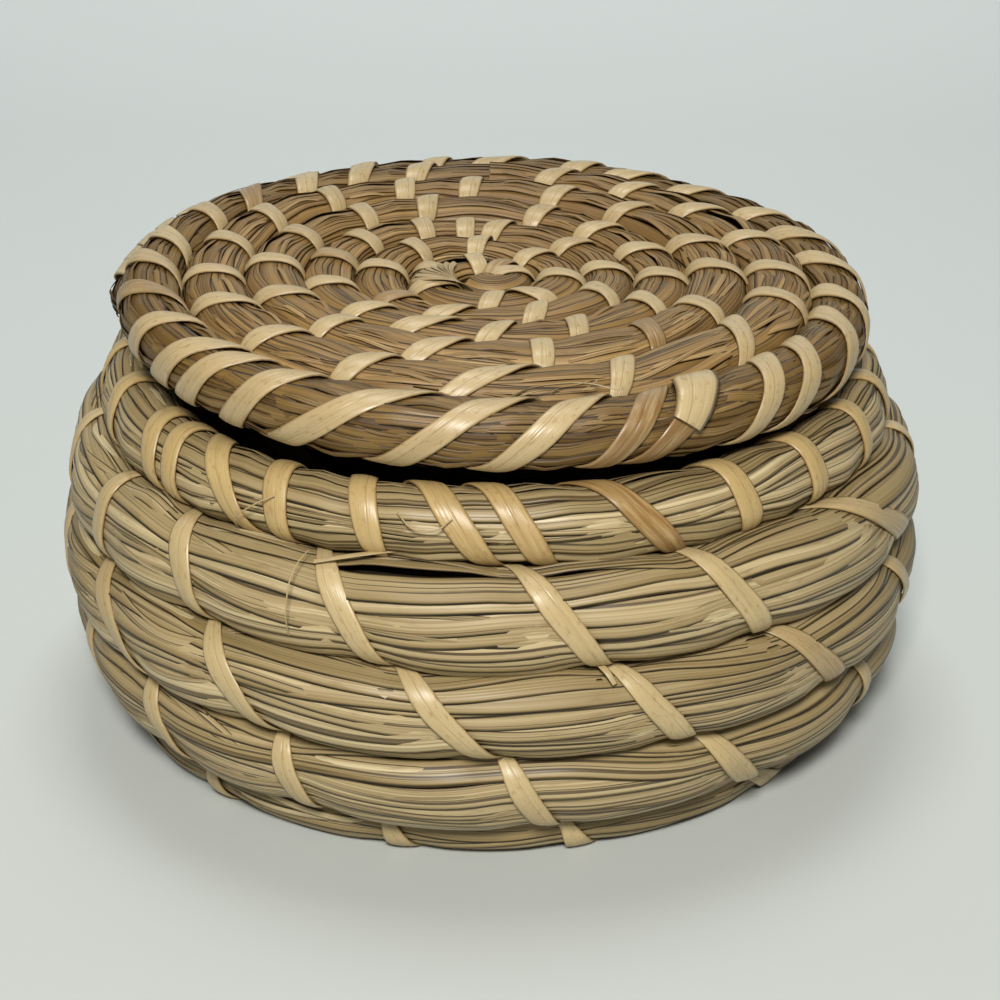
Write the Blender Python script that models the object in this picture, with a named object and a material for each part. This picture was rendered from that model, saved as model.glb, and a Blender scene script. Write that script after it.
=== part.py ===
# A round grass basket with a flat lid. Each is one long bundle of grass wound into a coil, and
# flat strips of leaf bind its rounds. Metres, +Z up, and the front of the basket faces -Y.

import math

import bmesh
import bpy
import numpy as np
from mathutils import Matrix, Vector
from mathutils.bvhtree import BVHTree

# Thickness of the grass bundle in the basket, corner to corner of its six sides
base_bundle = 0.0108
foot_bundle = 0.0110
lower_wall_bundle = 0.0153
middle_wall_bundle = 0.0154
upper_wall_bundle = 0.0163
rim_bundle = 0.0136

# Thickness of the grass bundle in the lid, from the middle outwards
lid_start_bundle = 0.0114
lid_inner_bundle = 0.0116
lid_middle_bundle = 0.0127
lid_outer_bundle = 0.0143
lid_edge_bundle = 0.0158

# Gap between the flat sides of two neighbouring rounds, where the strips of both pass
round_gap = 0.0020

# Where the coils begin, measured at the front
base_start_radius = 0.0091
lid_start_radius = 0.0105

# Leaf strips, their width being measured along the bundle
strip_width = 0.0056
strip_thickness = 0.0004
strip_bow = 0.0005
strip_clearance = 0.0003

# The wrapped buds that the coils start from
knot_height = 0.0095
knot_bevel = 0.0012

# Gap at which the lid rests on the rim, and at which a coil lies round its knot
seat_gap = 0.0003

# Degrees from level at which each round leans away from the round before it
dome_lean = -2.0
foot_lean = -12.0
lower_wall_lean = 60.5
middle_wall_lean = 79.5
upper_wall_lean = 97.6
rim_lean = 109.7
above_rim_lean = 116.0
lid_tilt = 1.9

# The path of each coil in turns, whole turns being at the front
base_round_count = 5
base_start_turn = 0.35
rim_end_turn = 9.6
rim_taper_turns = 0.4
lid_start_turn = 0.25
lid_end_turn = 4.75
lid_taper_turns = 0.42
steps_per_turn = 24

# How unevenly a coil moves on to its next round, and the share of a turn where it moves least
basket_uneven_share = 0.6
basket_level_share = 0.0
lid_uneven_share = 0.9
lid_level_share = 0.15
taper_end_share = 0.4

# Part of the bundle's thickness that the foot round loses where it stands
foot_cut_share = 0.1

sides = 6
side_angle = math.tau / sides
flat_share = math.cos(side_angle / 2)

# The corners that one curl of a strip passes, halves being the middle of a side. Those that show
# stand a little proud, and the hidden side is where the strip moves on to its next curl.
curl_corners = (3, 3.5, 4, 4.5, 5, 0, 1, 2)
show_corners = (3.5, 4, 4.5)
hidden_side = (1, 2)

# The foot round stands on its strips, so its flat underside lies a clearance and a strip up
foot_height = strip_clearance + strip_thickness

straw = (0.52, 0.44, 0.27, 1.0)
brown_straw = (0.45, 0.35, 0.19, 1.0)
pale_leaf = (0.72, 0.60, 0.36, 1.0)


def smooth_value(table, place):
    """The table read at a place between its rows, on a smooth curve through them."""
    row = min(max(int(place), 0), len(table) - 2)
    share = place - row
    here, there = table[row], table[row + 1]
    before = table[row - 1] if row > 0 else 2 * here - there
    after = table[row + 2] if row + 2 < len(table) else 2 * there - here
    slope_here, slope_there = (there - before) / 2, (after - here) / 2
    square, cube = share ** 2, share ** 3
    return (
        (2 * cube - 3 * square + 1) * here
        + (cube - 2 * square + share) * slope_here
        + (3 * square - 2 * cube) * there
        + (cube - square) * slope_there
    )


class Coil:
    """A bundle wound from its first turn to its last. Its rounds are pairs of thickness and lean.

    hand is 1 where it winds clockwise seen from above, or else -1. side is 1 where its show side is
    on the right of the way from round to round, or else -1.
    """

    def __init__(self, rounds, start_radius, first, last, taper, uneven, level, hand, side):
        self.halves = [thickness / 2 for thickness, _ in rounds]
        self.leans = [math.radians(lean) for _, lean in rounds]
        self.start_radius, self.first, self.last, self.taper = start_radius, first, last, taper
        self.uneven, self.level, self.hand, self.side = uneven, level, hand, side
        self.lift = 0.0
        self.steps = round((last - first) * steps_per_turn)

    def turn_at(self, step):
        return self.first + (self.last - self.first) * step / self.steps

    def lean(self, place):
        return smooth_value(self.leans, place)

    def along(self, place):
        """The way from the round before a place to the round after it."""
        return (self.lean(place) + self.lean(place + 1)) / 2

    def spacing(self, place):
        """From the middle of the round before to the middle of the round at this place."""
        lean = self.lean(place)
        reach = [
            smooth_value(self.halves, there) * math.cos(side_angle / 2 - abs(self.along(there) - lean))
            for there in (place - 1, place)
        ]
        return sum(reach) + round_gap

    def middle(self, place):
        """Radius and height of the bundle's middle after so many rounds."""
        if place < 1:
            step = self.spacing(1) * place
            return self.start_radius + step * math.cos(self.lean(1)), step * math.sin(self.lean(1))
        radius, height = self.middle(place - 1)
        lean, step = self.lean(place), self.spacing(place)
        return radius + step * math.cos(lean), height + step * math.sin(lean)

    def section(self, turn):
        """Middle of the bundle, its half thickness, and the directions of its six corners."""
        wave = math.sin(math.tau * (turn - self.level)) + math.sin(math.tau * self.level)
        place = turn - self.uneven * wave / math.tau
        radius, height = self.middle(place)
        full = smooth_value(self.halves, place)
        left = min((self.last - turn) / self.taper, 1.0)
        half = full * (taper_end_share + (1 - taper_end_share) * math.sin(left * math.pi / 2))
        inset = (full - half) * flat_share
        radius -= inset * math.cos(self.lean(place))
        height -= inset * math.sin(self.lean(place))
        turned = self.hand * math.tau * turn
        outward = Vector((-math.sin(turned), -math.cos(turned), 0.0))
        up = Vector((0.0, 0.0, 1.0))
        angles = [self.along(place) + self.side * side_angle * (i + 0.5) for i in range(sides)]
        corners = [outward * math.cos(a) + up * math.sin(a) for a in angles]
        return outward * radius + up * (height + self.lift), half, corners

    def rings(self):
        found = []
        for step in range(self.steps + 1):
            centre, half, corners = self.section(self.turn_at(step))
            found.append([centre + direction * half for direction in corners])
        return found

    def corner(self, step, number, height):
        """A corner of the bundle at any step, raised by height off the two flat sides there."""
        before = min(max(int(step), 0), self.steps - 1)
        ends = []
        for i in (before, before + 1):
            centre, half, corners = self.section(self.turn_at(i))
            ends.append(centre + corners[number % sides] * (half + height / flat_share))
        return ends[0].lerp(ends[1], step - before)

    def strip_point(self, step, number, height, stands):
        """A point over a corner, or over the middle of a side where number is a half."""
        whole = int(number)
        floor = foot_height - height
        bow = strip_bow if number in show_corners else 0.0
        if number != whole:
            low, high = [self.strip_point(step, whole + i, height, stands) for i in (0, 1)]
            point = (low + high) / 2
            point += (point - self.section(self.turn_at(step))[0]).normalized() * bow
        else:
            point = self.corner(step, whole, height + bow)
            if stands and point.z < floor:
                beside = [self.corner(step, whole + way, height + bow) for way in (-1, 1)]
                higher = max(beside, key=lambda p: p.z)
                point = point.lerp(higher, (floor - point.z) / (higher.z - point.z))
        if stands:
            point.z = max(point.z, floor)
        return point

    def strip_rings(self, first, curls, curl_steps, stands=False):
        """Sections of a strip that curls round the bundle, flat on the floor where it stands there.

        It crosses between two rounds at the middle of a step, moves on by one step over the show
        side, and by the rest behind, where the bundle bends away from it.
        """
        corners = curl_corners if self.side > 0 else curl_corners[4::-1] + curl_corners[:4:-1]
        step = round((first - self.first) * steps_per_turn) + 0.5
        marks = []
        for curl in range(curls):
            for before, number in zip((None,) + corners, corners):
                if before is not None and number in show_corners + corners[4:5]:
                    step += 1 / (len(show_corners) + 1)
                if {before, number} == set(hidden_side):
                    step += curl_steps - 1
                marks.append((step, number))
        rings = []
        for step, number in marks:
            round_length = math.tau * self.section(self.turn_at(step))[0].to_2d().length
            half_width = strip_width / 2 / round_length * steps_per_turn
            rings.append([
                self.strip_point(step + way * half_width, number, height, stands)
                for way, height in ((-1, strip_clearance), (1, strip_clearance), (1, foot_height), (-1, foot_height))
            ])
        return rings


def least_gap(name, rings, apart):
    """Prints how near the tube comes to itself, between points of rings at least so many apart."""
    points = []
    for ring in rings:
        points.append(ring + [(a + b) / 2 for a, b in zip(ring, ring[1:] + ring[:1])])
    points = np.array(points)
    nearest = min(
        np.linalg.norm(points[i][None, :, None] - points[i + apart:][:, None], axis=-1).min()
        for i in range(len(points) - apart)
    )
    print(f"{name}: least gap to itself {nearest * 1000:.2f} mm")


def finish_for(name, colour, roughness):
    finish = bpy.data.materials.new(name + "_finish")
    finish.use_nodes = True
    shader = finish.node_tree.nodes["Principled BSDF"]
    shader.inputs["Base Color"].default_value = colour
    shader.inputs["Roughness"].default_value = roughness
    shader.inputs["Metallic"].default_value = 0.0
    return finish


def add_piece(name, shape, colour, roughness, parent):
    mesh = bpy.data.meshes.new(name)
    bmesh.ops.recalc_face_normals(shape, faces=shape.faces)
    shape.to_mesh(mesh)
    shape.free()
    mesh.materials.append(finish_for(name, colour, roughness))
    mesh.shade_smooth()
    mesh.set_sharp_from_angle(angle=side_angle / 2)
    piece = bpy.data.objects.new(name, mesh)
    bpy.context.scene.collection.objects.link(piece)
    piece.parent = parent
    return piece


def tube_shape(rings):
    """A closed tube through rings of points, with a cap on each end."""
    shape = bmesh.new()
    loops = [[shape.verts.new(point) for point in ring] for ring in rings]
    for before, after in zip(loops, loops[1:]):
        for i in range(len(before)):
            j = (i + 1) % len(before)
            shape.faces.new((before[i], before[j], after[j], after[i]))
    shape.faces.new(loops[0][::-1])
    shape.faces.new(loops[-1])
    return shape


def knot_shape(coil):
    """The small wrapped bud that a coil starts from. It fills what the first turn leaves free."""
    inner = []
    for step in range(steps_per_turn):
        centre, half, _ = coil.section(coil.turn_at(step))
        inner.append(centre - Vector((*centre.to_2d().normalized(), 0.0)) * half * flat_share)
    middle = sum(inner, Vector()) / len(inner)
    middle.z = coil.section(coil.first)[0].z
    radius = min((point - middle).to_2d().length for point in inner) - seat_gap
    shape = bmesh.new()
    bmesh.ops.create_cone(
        shape,
        cap_ends=True,
        segments=2 * sides,
        radius1=radius,
        radius2=radius,
        depth=knot_height,
        matrix=Matrix.Translation(middle),
    )
    rims = [edge for edge in shape.edges if abs(edge.verts[0].co.z - edge.verts[1].co.z) < seat_gap]
    bmesh.ops.bevel(shape, geom=rims, offset=knot_bevel, segments=2, affect="EDGES", profile=0.5)
    return shape


def add_empty(name):
    empty = bpy.data.objects.new(name, None)
    bpy.context.scene.collection.objects.link(empty)
    return empty


def flatten_foot(piece, height):
    """Cuts the coil flat at this height, where its foot round stands on its strips."""
    reach = 2 * max(piece.dimensions.x, piece.dimensions.y)
    shape = bmesh.new()
    block = Matrix.Translation((0.0, 0.0, height - reach / 2)) @ Matrix.Scale(reach, 4)
    bmesh.ops.create_cube(shape, size=1.0, matrix=block)
    mesh = bpy.data.meshes.new("foot_cutter")
    shape.to_mesh(mesh)
    shape.free()
    cutter = bpy.data.objects.new("foot_cutter", mesh)
    bpy.context.scene.collection.objects.link(cutter)
    cutter.hide_render = True
    cutter.display_type = "WIRE"
    cut = piece.modifiers.new("foot_cut", "BOOLEAN")
    cut.operation = "DIFFERENCE"
    cut.solver = "EXACT"
    cut.object = cutter


def tree_of(rings):
    """Rings of a closed tube as a tree that rays can be cast at."""
    shape = tube_shape(rings)
    bmesh.ops.triangulate(shape, faces=shape.faces)
    tree = BVHTree.FromBMesh(shape)
    shape.free()
    return tree


def free_drop(upper, lower):
    """How far the upper tubes can come down before they meet the lower ones."""
    down, up = Vector((0.0, 0.0, -1.0)), Vector((0.0, 0.0, 1.0))
    found = []
    for rings, others, way in ((upper, lower, down), (lower, upper, up)):
        trees = [tree_of(other) for other in others]
        points = [point for tube in rings for ring in tube for point in ring]
        for tree in trees:
            hits = [tree.ray_cast(point, way) for point in points]
            found += [distance for _, _, _, distance in hits if distance is not None]
    return min(found)


for old in list(bpy.data.objects):
    bpy.data.objects.remove(old)

basket = Coil(
    [(base_bundle, dome_lean)] * base_round_count
    + [
        (foot_bundle, foot_lean),
        (lower_wall_bundle, lower_wall_lean),
        (middle_wall_bundle, middle_wall_lean),
        (upper_wall_bundle, upper_wall_lean),
        (rim_bundle, rim_lean),
        (rim_bundle, above_rim_lean),
    ],
    base_start_radius, base_start_turn, rim_end_turn, rim_taper_turns,
    basket_uneven_share, basket_level_share, hand=1, side=1,
)
lid = Coil(
    [
        (lid_start_bundle, 0.0),
        (lid_inner_bundle, 0.0),
        (lid_middle_bundle, 0.0),
        (lid_outer_bundle, 0.0),
        (lid_edge_bundle, 0.0),
        (lid_edge_bundle, 0.0),
    ],
    lid_start_radius, lid_start_turn, lid_end_turn, lid_taper_turns,
    lid_uneven_share, lid_level_share, hand=-1, side=-1,
)
lowest = min(point.z for ring in basket.rings() for point in ring)
basket.lift = foot_height - foot_cut_share * foot_bundle - lowest

# Each strip's first turn, its curls, and the steps from curl to curl
basket_strips = {
    "base_splint_1": (2.1, 5, 4),
    "base_splint_2": (3.2, 5, 4),
    "foot_splint": (4.5, 10, 2),
    "wall_splint_1": (5.5, 7, 3),
    "wall_splint_2": (6.5, 7, 3),
    "wall_splint_3": (7.5, 7, 3),
    "rim_splint": (8.5, 10, 2),
}
lid_strips = {
    "lid_splint_1": (0.9, 4, 4),
    "lid_splint_2": (1.9, 6, 3),
    "lid_splint_3": (2.85, 7, 3),
    "lid_edge_splint": (3.75, 9, 2),
}

basket_root = add_empty("basket")
lid_root = add_empty("lid")

basket_rings = basket.rings()
least_gap("basket_coil", basket_rings, steps_per_turn // 2)
basket_coil = add_piece("basket_coil", tube_shape(basket_rings), straw, 0.6, basket_root)
bpy.context.view_layer.update()
flatten_foot(basket_coil, foot_height)

basket_tubes = [basket_rings]
for name, (first, curls, curl_steps) in basket_strips.items():
    rings = basket.strip_rings(first, curls, curl_steps, stands=name == "foot_splint")
    least_gap(name, rings, len(curl_corners) // 2)
    add_piece(name, tube_shape(rings), pale_leaf, 0.45, basket_root)
    basket_tubes.append(rings)
add_piece("base_knot", knot_shape(basket), straw, 0.65, basket_root)

# The lid is wound flat, tilted as the rim is, and let down until it rests on the rim
lid_tubes = {"lid_coil": lid.rings()}
for name, (first, curls, curl_steps) in lid_strips.items():
    lid_tubes[name] = lid.strip_rings(first, curls, curl_steps)
tilt = Matrix.Rotation(math.radians(lid_tilt), 3, "Y")
above = max(point.z for ring in basket_rings for point in ring) + lid_edge_bundle + strip_width
for rings in lid_tubes.values():
    for ring in rings:
        ring[:] = [tilt @ point + Vector((0.0, 0.0, above)) for point in ring]
drop = free_drop(list(lid_tubes.values()), basket_tubes) - seat_gap
for name, rings in lid_tubes.items():
    least_gap(name, rings, steps_per_turn // 2 if name == "lid_coil" else len(curl_corners) // 2)
    shape = tube_shape(rings)
    bmesh.ops.translate(shape, verts=shape.verts, vec=(0.0, 0.0, -drop))
    colour, roughness = (brown_straw, 0.6) if name == "lid_coil" else (pale_leaf, 0.45)
    add_piece(name, shape, colour, roughness, lid_root)
shape = knot_shape(lid)
bmesh.ops.transform(shape, matrix=Matrix.Translation((0.0, 0.0, above - drop)) @ tilt.to_4x4(), verts=shape.verts)
add_piece("lid_knot", shape, brown_straw, 0.65, lid_root)
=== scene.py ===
import math
import random
from functools import partial

import bpy
from mathutils import Matrix, Vector, noise


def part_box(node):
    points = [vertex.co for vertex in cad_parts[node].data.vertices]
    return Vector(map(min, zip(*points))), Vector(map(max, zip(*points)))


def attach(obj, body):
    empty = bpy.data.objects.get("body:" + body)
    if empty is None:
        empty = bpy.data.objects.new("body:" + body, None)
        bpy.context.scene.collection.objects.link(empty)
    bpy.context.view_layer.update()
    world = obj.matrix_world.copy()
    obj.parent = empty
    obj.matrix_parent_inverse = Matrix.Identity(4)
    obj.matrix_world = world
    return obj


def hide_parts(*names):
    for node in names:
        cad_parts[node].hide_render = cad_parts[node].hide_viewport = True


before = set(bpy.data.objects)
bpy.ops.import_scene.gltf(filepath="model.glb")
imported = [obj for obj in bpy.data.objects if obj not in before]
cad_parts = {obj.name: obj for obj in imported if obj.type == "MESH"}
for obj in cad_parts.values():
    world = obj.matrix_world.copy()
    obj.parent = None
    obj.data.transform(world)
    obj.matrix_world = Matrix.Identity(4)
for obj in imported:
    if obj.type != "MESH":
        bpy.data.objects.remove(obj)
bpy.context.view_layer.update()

# A coiled sweetgrass basket and its lid. Every piece follows the same winding as the CAD coils, so
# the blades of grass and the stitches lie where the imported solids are.

mm = 0.001
tau = math.tau


def linear(hexColour):
    # an sRGB hex value as the linear colour that a node takes
    parts = [int(hexColour[i:i + 2], 16) / 255 for i in (1, 3, 5)]
    return [c / 12.92 if c <= 0.04045 else ((c + 0.055) / 1.055) ** 2.4 for c in parts] + [1.0]


def addNode(tree, kind, inputs=(), **settings):
    # one node with its settings; inputs come in order or by name, as values, sockets or nodes
    node = tree.nodes.new(kind)
    for name, value in settings.items():
        setattr(node, name, value)
    for name, value in inputs.items() if isinstance(inputs, dict) else enumerate(inputs):
        if isinstance(value, bpy.types.Node):
            value = value.outputs[0]
        if isinstance(value, bpy.types.NodeSocket):
            tree.links.new(value, node.inputs[name])
        elif value is not None:
            node.inputs[name].default_value = value
    return node


# the kinds of node that come often
mathNode, mapNode, mixNode = "ShaderNodeMath", "ShaderNodeMapRange", "ShaderNodeMix"
joinNode, splitNode, vectorNode = "ShaderNodeCombineXYZ", "ShaderNodeSeparateXYZ", "ShaderNodeVectorMath"
namedNode, storeNode = "GeometryNodeInputNamedAttribute", "GeometryNodeStoreNamedAttribute"
deleteNode, moveNode = "GeometryNodeDeleteGeometry", "GeometryNodeSetPosition"
circleNode, sweepNode = "GeometryNodeCurvePrimitiveCircle", "GeometryNodeCurveToMesh"

# Camera, at the place from which the photo was taken
camera = {
    "lens": 85.08,
    "sensor": 36.0,
    "place": (2.23 * mm, -432.54 * mm, 238.23 * mm),
    "elevation": 24.862,  # degrees that it looks down by
    "frameSize": 1000,  # the photo's columns and rows
}
cameraData = bpy.data.cameras.new("camera")
cameraData.lens = camera["lens"]
cameraData.sensor_width = camera["sensor"]
cameraObject = bpy.data.objects.new("camera", cameraData)
cameraObject.location = camera["place"]
cameraObject.rotation_euler = (math.radians(90 - camera["elevation"]), 0, 0)
bpy.context.scene.collection.objects.link(cameraObject)
bpy.context.scene.camera = cameraObject
print("camera set")


def photoColumn(point):
    # the photo's column at which a point shows
    down = math.radians(camera["elevation"])
    toPoint = point - Vector(camera["place"])
    depth = toPoint.y * math.cos(down) - toPoint.z * math.sin(down)
    scale = camera["frameSize"] * camera["lens"] / camera["sensor"]
    return camera["frameSize"] / 2 + scale * toPoint.x / depth


# How the two bundles are wound. The basket's has for each round its thickness in mm and its lean in
# degrees, which is the way from the round before it. The lid's has for each round at the front its
# radius and thickness in mm, and its rounds lie level at their tops.
basketWinding = {
    "rounds": [(10.8, -2.0)] * 5
    + [(11.0, -12.0), (15.3, 60.5), (15.4, 79.5), (16.3, 97.6), (13.6, 109.7), (13.6, 116.0)],
    "startRadius": 9.1,  # mm
    "firstTurn": 0.35,  # where the CAD coil begins and ends
    "lastTurn": 9.6,
    "startTurn": -0.58,  # the grass begins further in, where the CAD has a knot, and ends a little later
    "endTurn": 9.72,
    "taperTurns": 0.4,  # the last stretch, which thins
    "taperEnd": 0.4,  # share of its thickness that is left
    "uneven": 0.6,  # how unevenly the spiral grows round each turn
    "level": 0.0,  # turns from the front at which that starts
    "rough": 1.0,  # times the wobble
    "hand": 1,  # which way round it is wound
    "bladeSeed": 3,
    "stitchSeed": 10,
    "node": "basket_coil",
}
lidWinding = {
    "rings": [
        (13.5, 9.0), (23.3, 9.5), (33.2, 10.2), (43.8, 11.0), (55.3, 11.6), (67.0, 12.0), (75.2, 14.8),
    ],
    "startTurn": -1.12,
    "endTurn": 5.765,
    "taperTurns": 0.42,
    "taperEnd": 0.40,
    "tuck": 0.82,  # how far the thinning end moves inwards
    "sag": 0.5,  # and down
    "uneven": 0.9,
    "level": 0.15,
    "rough": 1.5,
    "hand": -1,
    "bladeSeed": 5,
    "stitchSeed": 21,
    "top": 87.8,  # mm, the lid's upper face at its middle
    "dish": 1.2,  # mm that the middle lies lower
    "dishReach": 32,  # mm outwards over which that fades
    "crown": 1.6,  # mm that the third and fourth rounds lie higher
    "crownPlace": 48,  # mm from the middle
    "crownReach": 17,  # mm to each side over which that fades
    "tilt": 1.9,  # degrees down to the right
    "nod": 1.06,  # degrees down to the front
}
tipTurns = 0.012  # the last bit of a bundle closes to a tip
tipSize = 0.2  # share of its thickness that is left there
roundGap = 2.0 * mm
cadSides = 6  # the CAD bundle is six-sided
cadStepsPerTurn = 24  # and so finely stepped
wobble = {
    "size": 0.5 * mm,
    "length": 40 * mm,
    "swell": 0.065,
    "perTurn": 3.7,  # how far apart in the noise two rounds are
    "heightShift": Vector((9.1, 3.3, 0)),  # where in the noise the heights and the swellings come from
    "swellShift": Vector((2.7, 8.8, 0)),
}


def smoothValue(table, place):
    # a smooth curve through a table's values, one for each whole place
    if place < 0:
        return table[0] + (table[1] - table[0]) * place
    row = min(max(int(place), 0), len(table) - 2)
    share = place - row
    here, there = table[row], table[row + 1]
    before = table[row - 1] if row > 0 else 2 * here - there
    after = table[row + 2] if row + 2 < len(table) else 2 * there - here
    slopeHere, slopeThere = (there - before) / 2, (after - here) / 2
    square, cube = share ** 2, share ** 3
    return (
        (2 * cube - 3 * square + 1) * here
        + (cube - 2 * square + share) * slopeHere
        + (3 * square - 2 * cube) * there
        + (cube - square) * slopeThere
    )


class Winding:
    def __init__(self, values):
        self.values = values
        self.hand = values["hand"]
        self.end = values["endTurn"]
        self.calibrating = False
        self.lift = 0.0

    def outward(self, turn):
        angle = self.hand * tau * turn
        return Vector((-math.sin(angle), -math.cos(angle), 0.0))

    def place(self, turn):
        # the spiral grows unevenly round each turn
        level = self.values["level"]
        wave = math.sin(tau * (turn - level)) + math.sin(tau * level)
        return turn - self.values["uneven"] * wave / tau

    def thin(self, turn):
        # the bundle's last stretch tapers
        left = min((self.end - turn) / self.values["taperTurns"], 1.0)
        thinnest = self.values["taperEnd"]
        tip = min(max((self.end - turn) / tipTurns, 0.0), 1.0)
        closing = 1.0 if self.calibrating else tipSize + (1 - tipSize) * math.sqrt(tip)
        return closing * (thinnest + (1 - thinnest) * math.sin(max(left, 0.0) * math.pi / 2))

    def uneven(self, turn, radius, height, half):
        # small bends and swellings, as a hand leaves them
        layer = Vector((0, 0, turn * wobble["perTurn"] + self.hand))
        spot = self.outward(turn) * radius / wobble["length"] + layer
        size, swell = wobble["size"] * self.values["rough"], wobble["swell"] * self.values["rough"]
        radius += size * noise.noise(spot)
        height += size * noise.noise(spot + wobble["heightShift"])
        return radius, height, half * (1 + swell * noise.noise(spot + wobble["swellShift"]))


class BasketWinding(Winding):
    def __init__(self, values):
        super().__init__(values)
        self.halves = [thickness * mm / 2 for thickness, _ in values["rounds"]]
        self.leans = [math.radians(lean) for _, lean in values["rounds"]]
        # the CAD node's top says how high the coil lies
        first, last = values["firstTurn"], values["lastTurn"]
        self.end, self.calibrating = last, True
        steps = round((last - first) * cadStepsPerTurn)
        tops = []
        for step in range(steps + 1):
            turn = first + (last - first) * step / steps
            radius, height, half, along = self.cross(turn)
            for side in range(cadSides):
                angle = along + self.hand * tau / cadSides * (side + 0.5)
                tops.append(height + math.sin(angle) * half)
        self.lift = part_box(values["node"])[1].z - max(tops)
        self.end, self.calibrating = values["endTurn"], False

    def lean(self, place):
        return smoothValue(self.leans, place)

    def between(self, place):
        return (self.lean(place) + self.lean(place + 1)) / 2

    def spacing(self, place):
        lean = self.lean(place)
        reach = 0.0
        for there in (place - 1, place):
            turnedBy = abs(self.between(there) - lean)
            reach += smoothValue(self.halves, there) * math.cos(tau / cadSides / 2 - turnedBy)
        return reach + roundGap

    def middle(self, place):
        if place < 1:
            step = self.spacing(1) * place
            start = self.values["startRadius"] * mm
            return start + step * math.cos(self.lean(1)), step * math.sin(self.lean(1))
        radius, height = self.middle(place - 1)
        lean, step = self.lean(place), self.spacing(place)
        return radius + step * math.cos(lean), height + step * math.sin(lean)

    def cross(self, turn):
        # radius and height of the bundle's middle, its half thickness, the angle to the next round
        place = self.place(turn)
        radius, height = self.middle(place)
        full = smoothValue(self.halves, place)
        half = full * self.thin(turn)
        inset = (full - half) * math.cos(tau / cadSides / 2)
        radius -= inset * math.cos(self.lean(place))
        height -= inset * math.sin(self.lean(place))
        return radius, height, half, self.between(place)

    def frameAt(self, turn):
        # middle, half thickness, the way out through the show side, and the way to the next round
        radius, height, half, along = self.cross(turn)
        radius, height, half = self.uneven(turn, radius, height, half)
        outward, up = self.outward(turn), Vector((0, 0, 1))
        show = along - math.pi / 2
        return (
            outward * radius + up * (height + self.lift),
            half,
            outward * math.cos(show) + up * math.sin(show),
            outward * math.cos(along) + up * math.sin(along),
        )


class LidWinding(Winding):
    def frameAt(self, turn):
        values = self.values
        place = self.place(turn)
        radius = smoothValue([ring[0] * mm for ring in values["rings"]], place)
        full = smoothValue([ring[1] * mm / 2 for ring in values["rings"]], place)
        half = full * self.thin(turn)
        radius -= (full - half) * values["tuck"]
        dished = math.exp(-(radius / (values["dishReach"] * mm)) ** 2)
        crowned = math.exp(-((radius - values["crownPlace"] * mm) / (values["crownReach"] * mm)) ** 2)
        height = -full - (full - half) * values["sag"] - values["dish"] * mm * dished
        height += values["crown"] * mm * crowned
        radius, height, half = self.uneven(turn, radius, height, half)
        outward, up = self.outward(turn), Vector((0, 0, 1))
        tilt = Matrix.Rotation(math.radians(values["tilt"]), 3, "Y")
        tilt = tilt @ Matrix.Rotation(math.radians(values["nod"]), 3, "X")
        centre = tilt @ (outward * radius + up * height) + up * values["top"] * mm
        return centre, half, tilt @ up, tilt @ outward


basketCoil = BasketWinding(basketWinding)
lidCoil = LidWinding(lidWinding)
print("windings set, basket lift in mm", round(basketCoil.lift / mm, 2))

# How a stitch draws the bundle in, and how the blades lie in it. Most of them overlap in order, like
# tiles. The loose ones are shorter, pointed, and lie over those.
bundle = {
    "pullReach": 6.5,  # mm to each side
    "pullDepth": 0.13,  # share of the bundle's half thickness
    "pressedRise": 0.75,  # share of the blades' rise that a stitch takes away
    "pressedRoll": 0.35,  # and of their roll
    "fill": 1.065,  # how far the grass fills out the CAD bundle, which lets it press on its neighbours
    "flatten": -0.07,  # below zero it is flatter on its show side, and wider towards its neighbours
    "square": 0.03,
    "bladeCount": 24,
    "bladeSides": 8,
    "bladeWidth": 0.60,  # share of the bundle's half thickness
    "thickness": 0.05,  # share of the blade's width
    "bow": 0.075,  # how far a blade bulges along its middle, share of its width
    "jitter": 0.4,  # share of a blade's spacing
    "roll": 0.185,  # how far a blade tips over the next one
    "looseCount": 20,  # in each turn
    "looseWidth": 0.27,
    "looseWander": 3.5,  # times as far as a tile
    "twist": 0.42,  # radians by which neighbouring blades wander together
    "wander": 0.09,  # and each by itself
    "rise": 0.42,  # mm
    "tileRise": 0.2,  # share of that by which a tile moves up and down
    "driftLength": 60,  # mm
    "point": 11,  # mm over which a loose blade narrows to its point
    "tail": 0.45,  # share of that at its other end
    "pointWidth": 0.06,
    "wornTurns": 0.03,  # the dark stretch at a bundle's end
    "core": 0.8,  # share of the bundle's thickness
    "lidCore": 0.72,
    "coreSides": 12,
}
bladeSpread = {  # from the least to the most
    "looseStart": (-0.12, 1.0),  # share of the piece at which a loose blade comes out
    "looseLength": (0.14, 0.5),  # turns
    "looseHeight": (0.9, 1.6),  # times the rise
    "looseTip": (-0.6, 0.9),  # times the roll, to either side
    "tileTip": (0.85, 1.2),
    "tileWidth": (0.92, 1.12),
    "looseWidth": (0.4, 1.4),
}
nearStitches = 3  # how many stitches are looked at for the one that crosses a blade
endMargin = 0.0004  # turns by which a piece of grass takes in the points at its ends

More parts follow.
